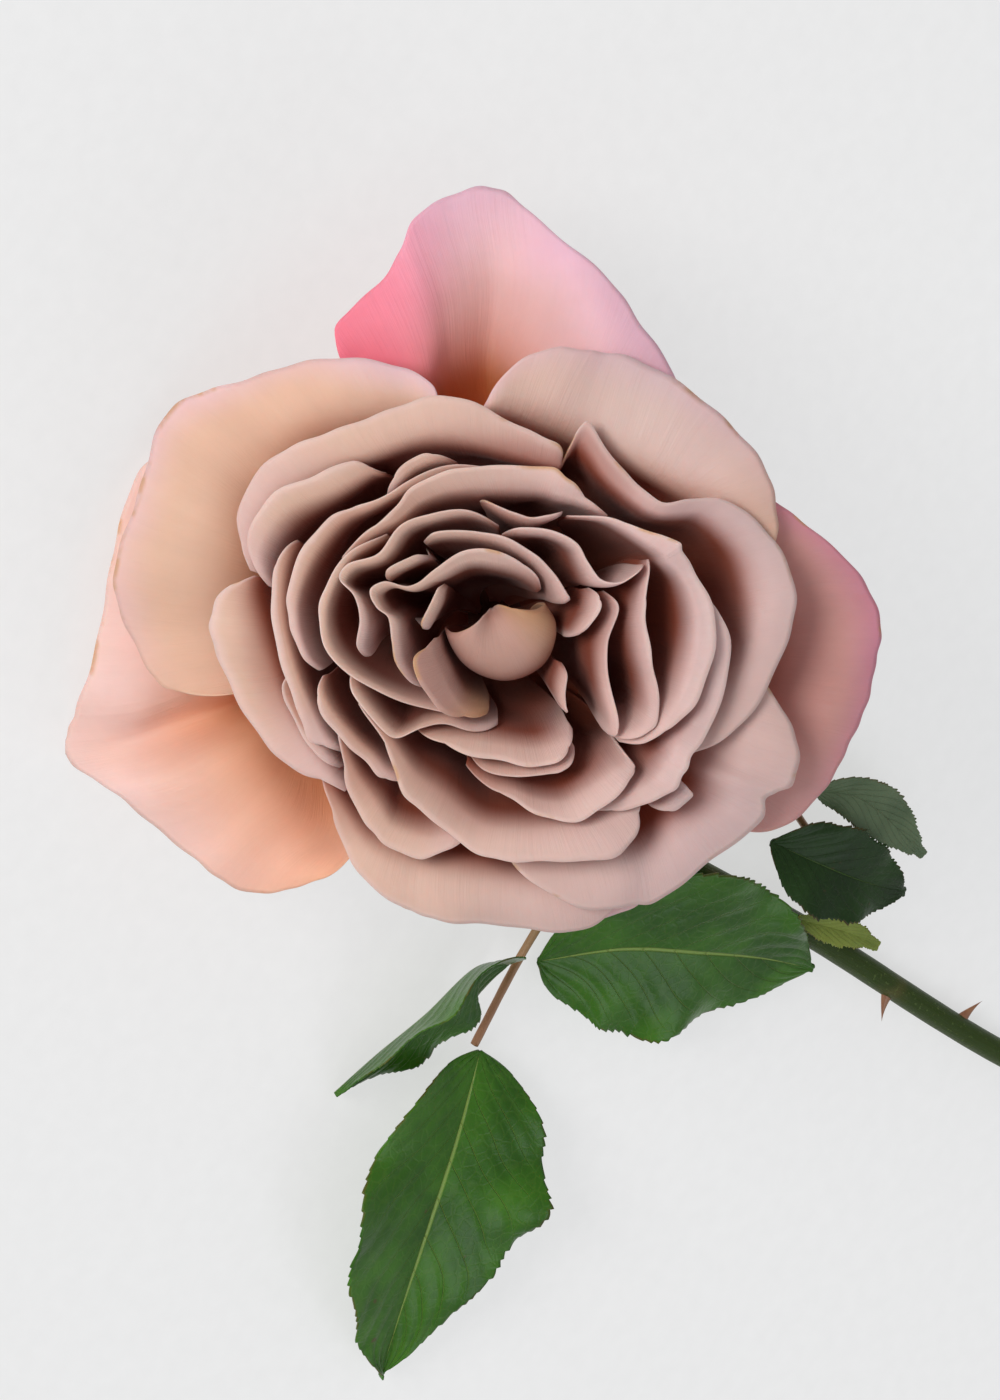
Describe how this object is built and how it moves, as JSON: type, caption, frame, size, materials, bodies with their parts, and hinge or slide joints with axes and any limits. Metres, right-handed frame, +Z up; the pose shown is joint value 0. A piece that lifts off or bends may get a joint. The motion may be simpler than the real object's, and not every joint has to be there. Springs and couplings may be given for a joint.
{
  "type": "cut garden rose",
  "caption": "Cut garden rose lying on a surface: a full bloom of layered petals on a bent neck, with sepals, a thorny stem and compound leaves.",
  "frame": {"origin": "on the surface that the flower lies on, under the middle of its bounding box", "axes": "+Z up from that surface; +X along the stem, from the bloom to the cut end"},
  "size_m": [0.2802, 0.1602, 0.0715],
  "materials": {
    "petal_pink": "soft satin petal, pink at the edge and orange at the base",
    "petal_peach": "soft satin petal, peach with a lilac or pink edge",
    "petal_mauve": "soft satin petal, dusty mauve with a pink edge",
    "petal_dusty_pink": "soft satin petal, dusty pink with a thin tan edge and a red-brown base",
    "stem_green": "waxy green skin, redder towards the prickles",
    "sepal_green": "matt green skin",
    "leaf_green": "glossy dark green skin with paler veins",
    "rachis_brown": "waxy olive skin with a red-brown upper side"
  },
  "bodies": {
    "root": {"guard_petal_top": "petal_pink", "guard_petal_left": "petal_peach", "guard_petal_right": "petal_mauve", "guard_petal_bottom": "petal_peach", "outer_petal_left": "petal_peach", "outer_petal_right": "petal_mauve", "broad_petal_bottom": "petal_dusty_pink", "shell_petal_bottom": "petal_dusty_pink", "shell_petal_right": "petal_dusty_pink", "wrap_petal_top": "petal_dusty_pink", "wrap_petal_left": "petal_dusty_pink", "wrap_petal_corner": "petal_dusty_pink", "wrap_petal_sliver": "petal_dusty_pink", "broad_petal_left": "petal_dusty_pink", "scalloped_petal_left": "petal_dusty_pink", "fold_petal_top": "petal_dusty_pink", "tan_edged_petal_left": "petal_dusty_pink", "short_petal_left": "petal_dusty_pink", "long_petal_bottom": "petal_dusty_pink", "small_petal_right": "petal_dusty_pink", "band_petal_right": "petal_dusty_pink", "tongue_petal_bottom": "petal_dusty_pink", "arched_petal_top": "petal_dusty_pink", "pocket_petal_top": "petal_dusty_pink", "ear_petal_right": "petal_dusty_pink", "outer_ribbon_petal": "petal_dusty_pink", "inner_ribbon_petal": "petal_dusty_pink", "hidden_petal_bottom": "petal_dusty_pink", "crescent_petal": "petal_dusty_pink", "corner_petal_bottom": "petal_dusty_pink", "thin_petal_left": "petal_dusty_pink", "pleated_petal_left": "petal_dusty_pink", "wave_petal_top": "petal_dusty_pink", "scalloped_curl": "petal_dusty_pink", "arched_petal_inner": "petal_dusty_pink", "sliver_petal_left": "petal_dusty_pink", "pleated_petal_inner": "petal_dusty_pink", "slim_petal_left": "petal_dusty_pink", "small_curl": "petal_dusty_pink", "cheek_petal": "petal_dusty_pink", "hood_petal": "petal_dusty_pink", "stem": "stem_green", "sepal_1": "sepal_green", "sepal_2": "sepal_green", "sepal_3": "sepal_green", "sepal_4": "sepal_green", "sepal_5": "sepal_green", "leaf_1_terminal": "leaf_green", "leaf_1_left": "leaf_green", "leaf_1_right": "leaf_green", "leaf_2_dark": "leaf_green", "leaf_2_pale": "leaf_green", "leaf_2_terminal": "leaf_green", "leaf_2_stipule": "leaf_green", "leaf_1_rachis": "rachis_brown", "leaf_2_rachis": "rachis_brown"}
  },
  "joints": []
}
